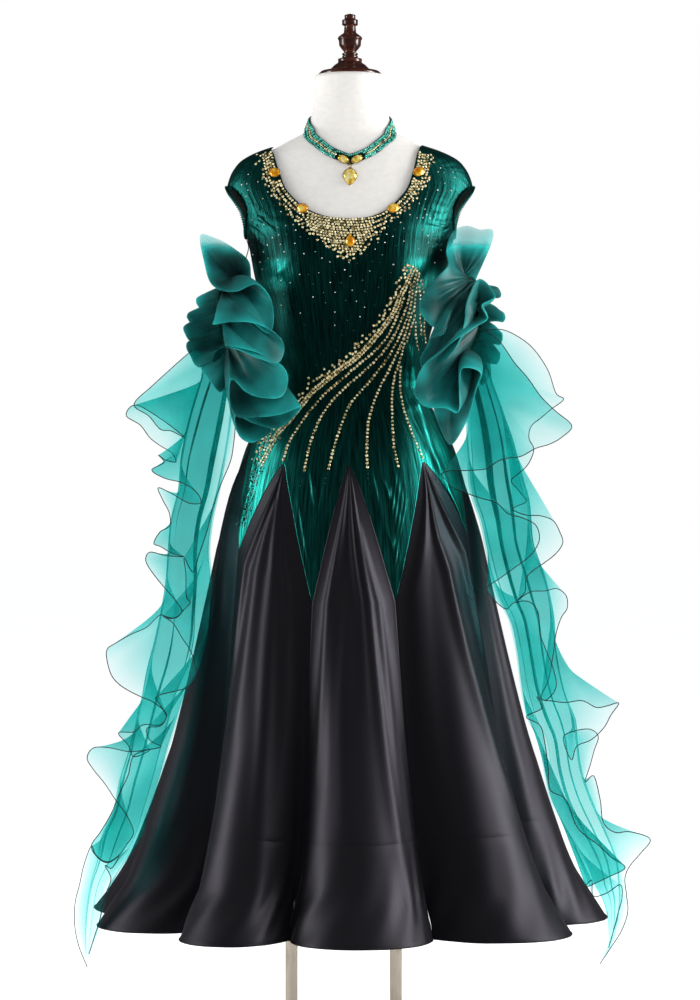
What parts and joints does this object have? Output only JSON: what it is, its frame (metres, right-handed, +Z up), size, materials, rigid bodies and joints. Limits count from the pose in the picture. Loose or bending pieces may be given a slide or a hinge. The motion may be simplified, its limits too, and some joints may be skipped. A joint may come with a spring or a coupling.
{
  "type": "ballroom dance dress on a dress form",
  "caption": "Long ballroom dance dress with a flared gored skirt, gathered organza arm floats, a jewelled neckline and a choker, shown on a limbless dress form with a stand.",
  "frame": {"origin": "on the floor under the base plate, straight below the axis of the form's neck", "axes": "+Z up; the dress faces -Y; +X is the viewer's right, which is the wearer's left"},
  "size_m": [0.9537, 0.8795, 1.7807],
  "materials": {
    "foil_jersey": "metallic foil on crinkled stretch jersey, deep green with bright teal lights",
    "satin": "heavy black satin with a soft sheen",
    "organza": "sheer teal organza with a fine dark overlocked edge",
    "stone": "faceted amber glass",
    "gilt": "polished gilt wire",
    "linen": "plain woven off-white cover",
    "mahogany": "turned and polished dark red wood",
    "post_paint": "satin beige enamel"
  },
  "bodies": {
    "dress_on_form": {"bodice_front": "foil_jersey", "bodice_back": "foil_jersey", "armhole_band_right": "foil_jersey", "armhole_band_left": "foil_jersey", "gore_1": "satin", "gore_2": "satin", "gore_3": "satin", "gore_4": "satin", "gore_5": "satin", "gore_6": "satin", "gore_7": "satin", "gore_8": "satin", "gore_9": "satin", "gore_10": "satin", "hem_band_front": "satin", "hem_band_back": "satin", "choker": "foil_jersey", "choker_stone_right": "stone", "choker_stone_left": "stone", "pendant_loop": "gilt", "stone_shoulder_right": "stone", "stone_shoulder_left": "stone", "stone_chest_right": "stone", "stone_chest_left": "stone", "stone_centre": "stone", "armband_right": "foil_jersey", "armband_left": "foil_jersey", "float_loop_right": "foil_jersey", "float_loop_left": "foil_jersey", "ruffle_front_right": "organza", "ruffle_front_left": "organza", "ruffle_back_right": "organza", "ruffle_back_left": "organza", "float_panel_right": "organza", "float_panel_left": "organza", "float_flounce_outer_right": "organza", "float_flounce_outer_left": "organza", "float_flounce_inner_right": "organza", "float_flounce_inner_left": "organza", "form_torso": "linen", "finial": "mahogany", "post_right": "post_paint", "post_left": "post_paint", "base_plate": "post_paint"},
    "pendant": {"pendant_bail": "gilt", "pendant_stone": "stone"}
  },
  "joints": [
    {"name": "pendant_swing", "type": "hinge", "parent": "dress_on_form", "child": "pendant", "pos_m": [0, -0.072, 1.513], "axis": [-1, 0, 0], "range_deg": [0, 75]}
  ]
}
